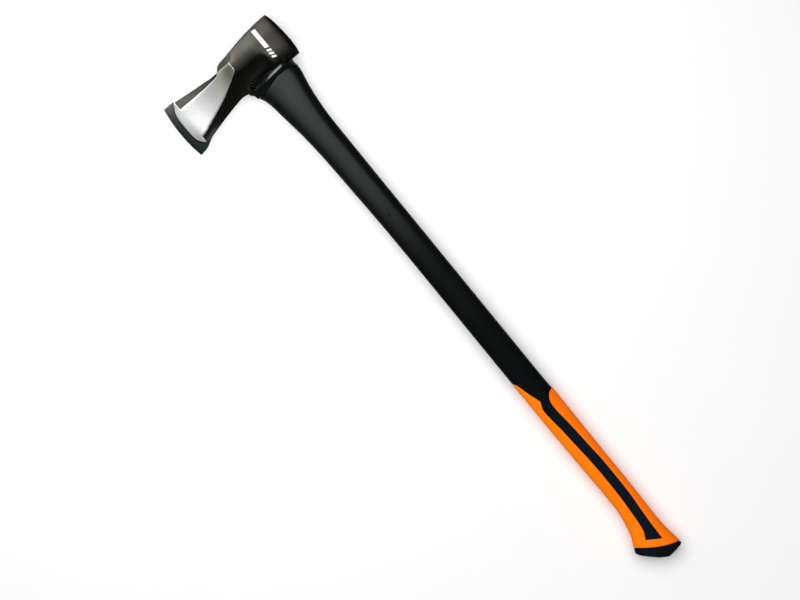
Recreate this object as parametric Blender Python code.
"""Two-handed felling and splitting axe: forged head, cored plastic handle, grip, butt cap and edge guard.

Stations are written in millimetres: s runs along the handle from the head's top to the butt, t runs towards the
poll (the cutting edge is at negative t), z is the thickness measured from the mid-plane.
"""

import math

import bmesh
import bpy

MM = 0.001
OVERALL_LENGTH = 898.0
HEAD_TOP = 1.0
POLL_CREST = 43.0
GUARD_EDGE = -150.0
HALF_CHEEK = 27.5
MID_S = HEAD_TOP + OVERALL_LENGTH / 2
MID_T = (POLL_CREST + GUARD_EDGE) / 2

GAP = 0.3
EDGE_MID_S = 52.0
EDGE_CREST = -147.0
EDGE_RISE = 3.4
EDGE_SPAN = 38.0
EDGE_FLAT = 0.3
BLADE_TOE = 15.6
BLADE_HEEL = 88.5
RAMP_START = -41.0
RECESS_END = -129.0
UNDERSIDE = 69.7
COLLAR_SEAT = 61.0
COLLAR_SEAT_POLL = 20.1
COLLAR_SEAT_BIT = -36.0

TENON_POWER = 2.5
TENON_POLL = 16.8
TENON_BIT = -26.6
TENON_HALF = 9.6
CORE_POLL = 9.0
CORE_BIT = -12.0
CORE_HALF = 7.0
CORE_END = 862.0
GRIP_WALL = 2.2
LOCATOR_S = 312.0
LOCATOR_T = -3.5
LOCATOR_RADIUS = 1.5
RING_POINTS = 28

# Thickness of the head from the poll towards the edge, as (t, half thickness).
CHEEK_PROFILE = [
    (30.0, 24.8),
    (20.0, 25.8),
    (10.0, 26.6),
    (0.0, HALF_CHEEK),
    (-30.0, HALF_CHEEK),
    (-40.5, 26.6),
]
RAMP_PROFILE = [
    (-42.0, 25.6),
    (-46.0, 23.4),
    (-52.0, 20.9),
    (-60.0, 18.2),
    (-70.0, 15.6),
    (-80.0, 13.5),
    (-90.0, 11.8),
    (-100.0, 10.3),
    (-110.0, 9.0),
    (-120.0, 7.8),
    (-130.0, 6.7),
]
# The last stretch to the edge, as (distance from the edge, half thickness).
BEVEL_PROFILE = [
    (9.0, 5.0),
    (5.0, 3.6),
    (2.0, 1.9),
    (0.6, 0.9),
    (0.0, EDGE_FLAT),
]
# How much of its full thickness the cheek keeps, along s.
CHEEK_FULLNESS = [
    (-3.0, 0.80),
    (1.0, 0.865),
    (4.0, 0.90),
    (8.0, 0.935),
    (13.0, 0.965),
    (20.0, 0.993),
    (27.0, 1.0),
    (57.0, 1.0),
    (60.0, 0.97),
    (63.0, 0.91),
    (66.0, 0.83),
    (70.0, 0.72),
    (95.0, 0.72),
]
POLL_LINE = [
    (-3.0, 36.0),
    (1.0, 37.0),
    (10.0, 39.5),
    (20.0, 41.0),
    (35.0, 42.5),
    (48.0, 43.0),
    (60.0, 42.5),
    (67.0, 41.5),
    (71.0, 39.5),
    (95.0, 39.0),
]
HEAD_STATIONS = [-3.0, 0.5, 4.0, 8.0, 13.0, 20.0, 28.3, 39.1, 47.3, 56.4, 60.0, 63.0, 66.0, 70.0, 78.0, 86.0, 95.0]
HEAD_OUTLINE = [
    (1.0, 60.0),
    (1.0, 33.0),
    (1.5, 20.0),
    (3.0, 5.0),
    (5.0, -10.0),
    (8.0, -25.0),
    (10.5, -38.0),
    (12.5, -50.0),
    (14.0, -55.0),
    (20.5, -61.0),
    (21.0, -63.0),
    (21.0, -72.0),
    (20.0, -83.0),
    (19.0, -97.0),
    (17.5, -112.0),
    (15.8, -128.0),
    (BLADE_TOE, -135.0),
    (BLADE_TOE, -160.0),
    (BLADE_HEEL, -160.0),
    (BLADE_HEEL, -140.0),
    (88.2, -132.0),
    (86.0, -126.0),
    (83.0, -120.0),
    (79.5, -110.0),
    (76.0, -97.0),
    (73.0, -84.0),
    (70.0, -69.0),
    (68.5, -58.0),
    (68.0, -50.0),
    (68.6, -46.0),
    (UNDERSIDE, -43.0),
    (UNDERSIDE, 60.0),
]
# Relief beside the ground wedge, as (t, s of its brink, half thickness of its floor, wall run per drop).
UPPER_RELIEF = [
    (-61.2, 20.6, 11.5, 0.60),
    (-65.3, 24.0, 10.6, 0.60),
    (-78.6, 25.9, 8.4, 0.60),
    (-94.4, 26.9, 6.8, 0.60),
    (-112.3, 27.4, 5.6, 0.60),
    (RECESS_END, 27.6, 4.6, 0.60),
]
LOWER_RELIEF = [
    (6.4, 38.0, 28.2, 0.95),
    (0.6, 38.0, 25.0, 0.95),
    (-6.3, 38.0, 21.6, 0.95),
    (-12.4, 37.6, 19.6, 0.95),
    (-20.7, 37.5, 18.2, 0.95),
    (-31.2, 37.5, 17.2, 1.0),
    (-41.3, 37.5, 14.8, 1.2),
    (-50.6, 40.2, 11.8, 1.5),
    (-60.8, 45.2, 9.2, 1.8),
    (-69.4, 50.1, 7.9, 1.9),
    (-84.2, 57.1, 6.8, 1.9),
    (-97.3, 62.3, 6.1, 1.7),
    (-111.4, 68.1, 5.5, 1.2),
    (-124.2, 73.0, 5.0, 0.7),
    (RECESS_END, 73.8, 4.7, 0.60),
]

# Handle sections, as (s, t of poll side, t of bit side, half thickness, squareness).
HANDLE_STATIONS = [
    (66.0, 28.6, -38.8, 16.4, 2.9),
    (80.0, 28.7, -38.2, 16.0, 2.9),
    (84.0, 28.5, -36.2, 15.9, 2.9),
    (90.0, 28.0, -33.6, 15.7, 2.9),
    (100.0, 26.0, -32.0, 15.4, 2.8),
    (110.0, 24.0, -31.0, 15.1, 2.8),
    (120.0, 22.5, -30.0, 14.9, 2.7),
    (135.0, 20.9, -28.5, 14.6, 2.6),
    (150.0, 19.6, -26.6, 14.3, 2.6),
    (165.0, 19.0, -25.1, 14.1, 2.5),
    (185.0, 18.8, -23.7, 13.9, 2.5),
    (210.0, 18.8, -22.5, 13.7, 2.4),
    (250.0, 18.8, -21.4, 13.6, 2.4),
    (290.0, 18.7, -20.2, 13.5, 2.4),
    (340.0, 18.6, -19.3, 13.4, 2.4),
    (420.0, 18.6, -19.0, 13.4, 2.4),
    (520.0, 18.6, -19.0, 13.5, 2.4),
    (585.0, 18.7, -19.0, 13.8, 2.4),
    (605.0, 19.0, -19.1, 14.2, 2.4),
    (620.0, 19.4, -19.2, 14.6, 2.4),
    (631.0, 20.4, -19.2, 14.9, 2.4),
    (660.0, 20.0, -19.0, 15.0, 2.4),
    (700.0, 19.5, -18.6, 15.0, 2.4),
    (750.0, 19.1, -18.0, 15.0, 2.4),
    (785.0, 19.0, -17.3, 15.0, 2.4),
    (805.0, 18.9, -17.3, 15.1, 2.4),
    (818.0, 18.8, -18.6, 15.2, 2.4),
    (831.0, 18.7, -20.8, 15.4, 2.4),
    (845.0, 18.6, -24.2, 15.7, 2.4),
]
# Past here the sections lean over to the slant of the butt, as (poll point, bit point, half thickness).
BUTT_SECTIONS = [
    ((858.0, 18.8), (852.0, -26.9), 15.9),
    ((872.0, 19.7), (857.5, -29.4), 16.2),
    ((884.0, 21.0), (860.0, -31.0), 16.5),
    ((892.0, 22.0), (865.0, -33.6), 16.6),
    ((912.0, 22.6), (890.0, -42.0), 16.6),
]
WINDOW_BORDER = [
    (592.0, -20.0),
    (600.0, -12.5),
    (610.0, -9.5),
    (620.0, -6.0),
    (627.0, -3.6),
    (634.0, -3.6),
    (638.0, -5.5),
    (641.0, -8.0),
    (650.0, -8.5),
    (665.0, -7.0),
    (680.0, -5.0),
    (700.0, -3.5),
    (730.0, -2.0),
    (760.0, -1.0),
    (790.0, -1.5),
    (820.0, -4.0),
    (845.0, -7.0),
    (855.0, -10.0),
    (861.0, -12.5),
    (872.0, 5.5),
    (855.0, 6.5),
    (840.0, 7.0),
    (820.0, 8.5),
    (800.0, 9.7),
    (775.0, 10.6),
    (745.0, 10.1),
    (720.0, 8.6),
    (690.0, 6.8),
    (665.0, 5.2),
    (648.0, 4.5),
    (640.0, 5.0),
    (634.0, 7.0),
    (630.0, 10.0),
    (627.0, 15.0),
    (625.0, 22.0),
]
BUTT_SEAM = [
    (891.0, 40.0),
    (890.2, 20.0),
    (889.0, 12.0),
    (885.0, 3.5),
    (880.0, -5.0),
    (873.0, -15.0),
    (866.0, -24.0),
    (859.5, -32.0),
    (852.0, -42.0),
]
CAP_OUTLINE = [
    (830.0, 40.0),
    (893.0, 40.0),
    (893.6, 24.0),
    (896.2, 20.0),
    (898.1, 10.0),
    (899.0, 0.0),
    (897.4, -5.0),
    (890.0, -12.3),
    (880.0, -22.4),
    (872.0, -31.0),
    (868.4, -34.2),
    (863.0, -36.0),
    (850.0, -46.0),
    (830.0, -46.0),
]
CAP_ROUNDING = [(-16.9, 4.4), (-15.6, 2.3), (-13.0, 0.9), (-9.0, 0.2), (0.0, 0.0), (9.0, 0.2), (13.0, 0.9), (15.6, 2.3), (16.9, 4.4)]

# Collar between head and handle, as (s, t of poll side, t of bit side, half thickness, squareness).
COLLAR_STATIONS = [
    (COLLAR_SEAT + GAP, 27.0, -40.0, 17.6, 2.9),
    (64.0, 28.0, -42.0, 19.0, 2.9),
    (67.0, 28.6, -43.6, 19.4, 2.9),
    (70.0, 29.0, -43.4, 18.9, 2.9),
    (73.0, 29.0, -41.0, 17.8, 2.9),
    (76.0, 28.8, -39.6, 16.8, 2.9),
    (79.0, 28.9, -39.0, 16.4, 2.9),
    (83.0, 29.5, -38.6, 16.3, 2.9),
]
COLLAR_ARCH = [
    (82.0, 34.0),
    (80.5, 29.0),
    (76.5, 24.5),
    (74.0, 19.0),
    (73.7, 12.0),
    (74.2, 4.0),
    (76.0, -8.0),
    (78.4, -20.0),
    (80.0, -30.0),
    (81.2, -46.0),
]

GUARD_OUTLINE = [
    (14.0, -130.3),
    (14.0, -160.0),
    (91.6, -160.0),
    (92.2, -144.0),
    (91.0, -137.0),
    (89.0, -131.0),
    (85.0, -125.0),
    (82.0, -130.5),
    (80.0, -133.0),
    (76.0, -136.0),
    (70.0, -138.4),
    (60.0, -139.6),
    (48.0, -140.0),
    (35.0, -139.4),
    (27.0, -137.8),
    (20.0, -134.3),
]
# Guard thickness from its brim to its nose, as (distance from the nose, half thickness).
GUARD_PROFILE = [(32.0, 10.6), (20.0, 9.4), (10.0, 7.9), (5.0, 7.0), (2.0, 5.7), (0.6, 4.3), (0.0, 2.8)]
GUARD_STATIONS = [10.0, 18.0, 28.0, 40.0, 52.0, 64.0, 76.0, 86.0, 96.0]


def clear_scene():
    for item in list(bpy.data.objects):
        bpy.data.objects.remove(item, do_unlink=True)
    for mesh in list(bpy.data.meshes):
        bpy.data.meshes.remove(mesh)


def collection(name):
    made = bpy.data.collections.new(name)
    bpy.context.scene.collection.children.link(made)
    return made


def material(name, colour, metallic, roughness):
    made = bpy.data.materials.new(name)
    made.use_nodes = True
    shader = made.node_tree.nodes["Principled BSDF"]
    shader.inputs["Base Color"].default_value = (*colour, 1.0)
    shader.inputs["Metallic"].default_value = metallic
    shader.inputs["Roughness"].default_value = roughness
    made.diffuse_color = (*colour, 1.0)
    return made


def at(table, x):
    """Straight-line reading of a table of (x, value)."""
    rising = sorted(table)
    if x <= rising[0][0]:
        return rising[0][1]
    for (x0, y0), (x1, y1) in zip(rising, rising[1:]):
        if x <= x1:
            return y0 + (y1 - y0) * (x - x0) / (x1 - x0)
    return rising[-1][1]


def place(point):
    s, t, z = point
    return ((s - MID_S) * MM, (t - MID_T) * MM, (z + HALF_CHEEK) * MM)


def loft(name, rings, home, slot=None):
    """A closed body through rings of equal length."""
    mesh = bpy.data.meshes.new(name)
    shape = bmesh.new()
    rows = [[shape.verts.new(place(point)) for point in ring] for ring in rings]
    count = len(rows[0])
    for low, high in zip(rows, rows[1:]):
        for i in range(count):
            j = (i + 1) % count
            shape.faces.new((low[i], low[j], high[j], high[i]))
    shape.faces.new(rows[0][::-1])
    shape.faces.new(rows[-1])
    bmesh.ops.recalc_face_normals(shape, faces=shape.faces)
    shape.to_mesh(mesh)
    shape.free()
    made = bpy.data.objects.new(name, mesh)
    home.objects.link(made)
    if slot:
        mesh.materials.append(slot)
    return made


def oval(poll, bit, half, power, count=RING_POINTS):
    """A rounded section standing on the plan line from the bit point to the poll point."""
    centre = ((poll[0] + bit[0]) / 2, (poll[1] + bit[1]) / 2)
    reach = ((poll[0] - bit[0]) / 2, (poll[1] - bit[1]) / 2)
    ring = []
    for i in range(count):
        angle = 2 * math.pi * i / count
        c = math.cos(angle)
        w = math.sin(angle)
        u = math.copysign(abs(c) ** (2 / power), c)
        v = math.copysign(abs(w) ** (2 / power), w)
        ring.append((centre[0] + reach[0] * u, centre[1] + reach[1] * u, half * v))
    return ring


def inset(outline, amount):
    """The outline moved inwards by amount, or outwards when it is negative."""
    area = sum(a[0] * b[1] - b[0] * a[1] for a, b in zip(outline, outline[1:] + outline[:1]))
    side = 1.0 if area > 0 else -1.0
    moved = []
    count = len(outline)
    for i in range(count):
        before = outline[i - 1]
        here = outline[i]
        after = outline[(i + 1) % count]
        first = (here[0] - before[0], here[1] - before[1])
        second = (after[0] - here[0], after[1] - here[1])
        n1 = (-first[1] / math.hypot(*first), first[0] / math.hypot(*first))
        n2 = (-second[1] / math.hypot(*second), second[0] / math.hypot(*second))
        spread = max(0.3, 1 + n1[0] * n2[0] + n1[1] * n2[1])
        moved.append((here[0] + side * amount * (n1[0] + n2[0]) / spread, here[1] + side * amount * (n1[1] + n2[1]) / spread))
    return moved


def shade(made):
    """Smooth shading that keeps the hard edges."""
    made.data.shade_smooth()
    made.data.set_sharp_from_angle(angle=math.radians(30))


def prism(name, outline, low, high, home):
    return loft(name, [[(s, t, low) for s, t in outline], [(s, t, high) for s, t in outline]], home)


def boolean(target, tool, operation):
    cut = target.modifiers.new(operation.lower() + "_" + tool.name, "BOOLEAN")
    cut.operation = operation
    cut.solver = "EXACT"
    cut.object = tool


def edge_line(s):
    return EDGE_CREST + EDGE_RISE * ((s - EDGE_MID_S) / EDGE_SPAN) ** 2


def nose_line(s):
    return GUARD_EDGE + EDGE_RISE * ((s - EDGE_MID_S) / EDGE_SPAN) ** 2


def mirrored(half):
    return half + [(s, t, -z) for s, t, z in reversed(half) if z > 0]


def fullness(s, t):
    """Cheek fullness, fading into the upper shoulder of the wedge and then to the full blade."""
    cheek = at(CHEEK_FULLNESS, s)
    if t > -38:
        return cheek
    shoulder = at([(8.0, 0.62), (14.0, 0.72), (20.5, 1.0), (57.0, 1.0)], s)
    if t > -52:
        mix = (-38 - t) / 14
        return cheek + (shoulder - cheek) * mix
    if t > -60.5:
        return shoulder
    return 1.0


def head_section(s):
    poll = at(POLL_LINE, s)
    chamfer = 1.5 + 3.0 * min(1.0, max(0.0, s) / 45)
    full = at(CHEEK_FULLNESS, s)
    half = [(s, poll, 0.0), (s, poll - 0.4, 15.0 * full), (s, poll - 1.2, 20.0 * full), (s, poll - chamfer, 23.4 * full)]
    half += [(s, t, z * fullness(s, t)) for t, z in CHEEK_PROFILE]
    half += [(s, t, z * fullness(s, t)) for t, z in RAMP_PROFILE]
    half += [(s, edge_line(s) + d, z) for d, z in BEVEL_PROFILE]
    return mirrored(half)


def full_thickness(t):
    return at(CHEEK_PROFILE + RAMP_PROFILE, t)


def relief(name, stations, outside, side, home):
    """Cutter of a relief: a floor, and a slanting wall that meets the wedge along the brink."""
    rings = []
    for t, brink, floor, run in stations:
        away = math.copysign(1.0, outside - brink)
        drop = max(0.5, full_thickness(t) - floor)
        foot = brink + away * run * drop
        top = foot - away * run * (45.0 - floor)
        rings.append([(foot, t, side * floor), (outside, t, side * (floor - 1.6)), (outside, t, side * 45.0), (top, t, side * 45.0)])
    return loft(name, rings, home)


def make_head(parts, cutters, slot):
    head = loft("axe_head", [head_section(s) for s in HEAD_STATIONS], parts, slot)
    outline = prism("head_outline", HEAD_OUTLINE, -50.0, 50.0, cutters)
    boolean(head, outline, "INTERSECT")
    for side, word in ((1, "front"), (-1, "back")):
        boolean(head, relief("upper_relief_" + word, UPPER_RELIEF, -8.0, side, cutters), "DIFFERENCE")
        boolean(head, relief("lower_relief_" + word, LOWER_RELIEF, 110.0, side, cutters), "DIFFERENCE")
    seat = [(COLLAR_SEAT, COLLAR_SEAT_BIT), (COLLAR_SEAT, COLLAR_SEAT_POLL), (100.0, COLLAR_SEAT_POLL), (100.0, COLLAR_SEAT_BIT)]
    boolean(head, prism("collar_seat", seat, -60.0, 60.0, cutters), "DIFFERENCE")
    eye = loft("eye", eye_rings(-20.0, 0.0), cutters)
    boolean(head, eye, "DIFFERENCE")
    return head


def eye_rings(start, shrink):
    return [
        oval((start, 19.2 - shrink), (start, -29.0 + shrink), 12.9 - shrink, TENON_POWER),
        oval((10.0, 19.4 - shrink), (10.0, -29.2 + shrink), 12.7 - shrink, TENON_POWER),
        oval((90.0, 19.6 - shrink), (90.0, -29.6 + shrink), 11.9 - shrink, TENON_POWER),
    ]


def make_resin(parts, cutters, slot):
    """Bonding resin between eye and tenon, level with the tenon's top."""
    rings = eye_rings(-20.0, GAP)
    rings[0] = oval((3.2, 18.9), (9.9, -28.7), 12.5, TENON_POWER)
    rings[1] = oval((20.0, 19.1), (20.0, -28.9), 12.3, TENON_POWER)
    rings[2] = oval((COLLAR_SEAT - 0.5, 19.2), (COLLAR_SEAT - 0.5, -29.1), 11.9, TENON_POWER)
    resin = loft("eye_resin", rings, parts, slot)
    boolean(resin, tenon("tenon_clearance", -30.0, 110.0, GAP, cutters), "DIFFERENCE")
    return resin


def tenon(name, start, end, grow, home):
    poll = TENON_POLL + grow
    bit = TENON_BIT - grow
    rings = [oval((start, poll), (start, bit), TENON_HALF + grow, TENON_POWER), oval((end, poll), (end, bit), TENON_HALF + grow, TENON_POWER)]
    return loft(name, rings, home)


def envelope(name, home, slot=None):
    rings = [oval((s, poll), (s, bit), half, power) for s, poll, bit, half, power in HANDLE_STATIONS]
    rings += [oval(poll, bit, half, 2.4) for poll, bit, half in BUTT_SECTIONS]
    return loft(name, rings, home, slot)


def under_grip(name, grow, home):
    """The handle body where the grip and the cap cover it."""
    wall = GRIP_WALL - grow
    rings = [oval((s, poll - wall), (s, bit + wall), half - wall, power) for s, poll, bit, half, power in HANDLE_STATIONS if s > 500]
    for poll, bit, half in BUTT_SECTIONS[:2]:
        rings.append(oval((poll[0], poll[1] - wall), (bit[0], bit[1] + wall), half - wall, 2.4))
    rings.append(oval((886.0 + grow, 12.0 + grow), (868.0 + grow, -20.0 - grow), 11.5 + grow, 2.4))
    return loft(name, rings, home)


def covered_region(gap):
    """Plan of everything that the grip and the cap cover."""
    outline = [(589.0, -70.0)] + WINDOW_BORDER + [(624.0, 70.0), (960.0, 70.0), (960.0, -70.0)]
    return inset(outline, gap)


def core_rings(start, end, grow):
    poll = CORE_POLL + grow
    bit = CORE_BIT - grow
    return [oval((start, poll), (start, bit), CORE_HALF + grow, 2.0, 24), oval((end, poll), (end, bit), CORE_HALF + grow, 2.0, 24)]


def drill(name, s, t, low, high, radius, home):
    ring = [(s + radius * math.cos(a * math.pi / 8), t + radius * math.sin(a * math.pi / 8)) for a in range(16)]
    return prism(name, ring, low, high, home)


def make_shell(parts, cutters, slot):
    shell = envelope("handle_shell", parts, slot)
    cover = prism("cover_region", covered_region(-GAP / 2), -40.0, 40.0, cutters)
    boolean(cover, under_grip("body_under_grip", 0.0, cutters), "DIFFERENCE")
    boolean(shell, cover, "DIFFERENCE")
    before = [(s + GAP / 2, t) for s, t in COLLAR_ARCH] + [(40.0, -70.0), (40.0, 70.0)]
    boolean(shell, prism("before_shell", before, -40.0, 40.0, cutters), "DIFFERENCE")
    rings = [
        oval((3.4, TENON_POLL), (9.7, TENON_BIT), TENON_HALF, TENON_POWER),
        oval((30.0, TENON_POLL), (30.0, TENON_BIT), TENON_HALF, TENON_POWER),
        oval((100.0, TENON_POLL), (100.0, TENON_BIT), TENON_HALF, TENON_POWER),
    ]
    boolean(shell, loft("tenon", rings, cutters), "UNION")
    boolean(shell, loft("core_bore", core_rings(-20.0, CORE_END + GAP, GAP), cutters), "DIFFERENCE")
    for side, word in ((1, "front"), (-1, "back")):
        low, high = sorted((side * 6.0, side * 25.0))
        boolean(shell, drill("locator_" + word, LOCATOR_S, LOCATOR_T, low, high, LOCATOR_RADIUS, cutters), "DIFFERENCE")
    return shell


def make_core(parts, slot):
    rings = core_rings(30.0, CORE_END, 0.0)
    rings.insert(0, oval((4.6, CORE_POLL), (7.6, CORE_BIT), CORE_HALF, 2.0, 24))
    return loft("handle_core", rings, parts, slot)


def make_collar(parts, cutters, slot):
    rings = [oval((s, poll), (s, bit), half, power) for s, poll, bit, half, power in COLLAR_STATIONS]
    collar = loft("neck_collar", rings, parts, slot)
    keep = [
        (COLLAR_SEAT - 5.0, COLLAR_SEAT_BIT + GAP),
        (COLLAR_SEAT - 5.0, COLLAR_SEAT_POLL - GAP),
        (UNDERSIDE + GAP, COLLAR_SEAT_POLL - GAP),
        (UNDERSIDE + GAP, 34.0),
    ]
    keep += [(s - GAP / 2, t) for s, t in COLLAR_ARCH]
    keep += [(UNDERSIDE + GAP, -46.0), (UNDERSIDE + GAP, COLLAR_SEAT_BIT + GAP)]
    boolean(collar, prism("collar_plan", keep, -40.0, 40.0, cutters), "INTERSECT")
    boolean(collar, tenon("collar_bore", 40.0, 110.0, GAP, cutters), "DIFFERENCE")
    return collar


def make_grip(parts, cutters, slot):
    grip = envelope("grip_overmold", parts, slot)
    region = [(589.0, -70.0)] + WINDOW_BORDER + [(624.0, 70.0), (891.5, 70.0)] + BUTT_SEAM + [(840.0, -70.0)]
    boolean(grip, prism("grip_region", inset(region, GAP / 2), -40.0, 40.0, cutters), "INTERSECT")
    boolean(grip, under_grip("grip_bore", GAP, cutters), "DIFFERENCE")
    return grip


def make_cap(parts, cutters, slot):
    cap = envelope("butt_cap", parts, slot)
    rings = [[(s, t, z) for s, t in inset(CAP_OUTLINE, amount)] for z, amount in CAP_ROUNDING]
    boolean(cap, loft("cap_form", rings, cutters), "INTERSECT")
    before = [(s + GAP / 2, t) for s, t in BUTT_SEAM] + [(500.0, -60.0), (500.0, 60.0)]
    boolean(cap, prism("before_cap", before, -40.0, 40.0, cutters), "DIFFERENCE")
    boolean(cap, under_grip("cap_socket", 2 * GAP, cutters), "DIFFERENCE")
    return cap


def make_guard(parts, cutters, slot):
    rings = []
    for s in GUARD_STATIONS:
        rings.append(mirrored([(s, nose_line(s) + d, z) for d, z in GUARD_PROFILE]))
    guard = loft("edge_guard", rings, parts, slot)
    boolean(guard, prism("guard_plan", GUARD_OUTLINE, -30.0, 30.0, cutters), "INTERSECT")
    slot_rings = []
    for s in (BLADE_TOE - GAP, 30.0, 44.0, 58.0, 72.0, BLADE_HEEL + GAP):
        half = [(s, t, z + GAP) for t, z in RAMP_PROFILE if t < -95]
        half += [(s, edge_line(s) + d - 0.4, z + GAP) for d, z in BEVEL_PROFILE]
        slot_rings.append(mirrored(half))
    boolean(guard, loft("guard_slot", slot_rings, cutters), "DIFFERENCE")
    return guard


def main():
    clear_scene()
    parts = collection("axe")
    cutters = collection("cutters")
    painted = material("forged_steel", (0.035, 0.037, 0.036), 0.4, 0.42)
    rubber = material("guard_rubber", (0.05, 0.06, 0.055), 0.0, 0.6)
    fibre = material("fibreglass", (0.62, 0.58, 0.40), 0.0, 0.5)
    nylon = material("black_nylon", (0.03, 0.032, 0.032), 0.0, 0.5)
    gloss = material("gloss_black", (0.012, 0.013, 0.013), 0.0, 0.15)
    orange = material("orange_soft_grip", (0.90, 0.24, 0.01), 0.0, 0.5)
    black_cap = material("cap_black", (0.02, 0.022, 0.024), 0.0, 0.45)
    resin = material("bonding_resin", (0.10, 0.075, 0.04), 0.0, 0.3)

    make_head(parts, cutters, painted)
    make_guard(parts, cutters, rubber)
    make_core(parts, fibre)
    make_shell(parts, cutters, nylon)
    make_collar(parts, cutters, gloss)
    make_grip(parts, cutters, orange)
    make_cap(parts, cutters, black_cap)
    make_resin(parts, cutters, resin)

    slide = bpy.data.objects.new("guard_pull", None)
    slide.location = place((EDGE_MID_S, EDGE_CREST, 0.0))
    slide.empty_display_size = 0.03
    parts.objects.link(slide)
    guard = bpy.data.objects["edge_guard"]
    guard.parent = slide
    guard.matrix_parent_inverse = slide.matrix_world.inverted()
    bpy.context.view_layer.update()
    guard.matrix_parent_inverse = slide.matrix_world.inverted()

    for piece in parts.objects:
        if piece.type == "MESH":
            shade(piece)
    for helper in cutters.objects:
        helper.hide_render = True
        helper.display_type = "WIRE"


main()
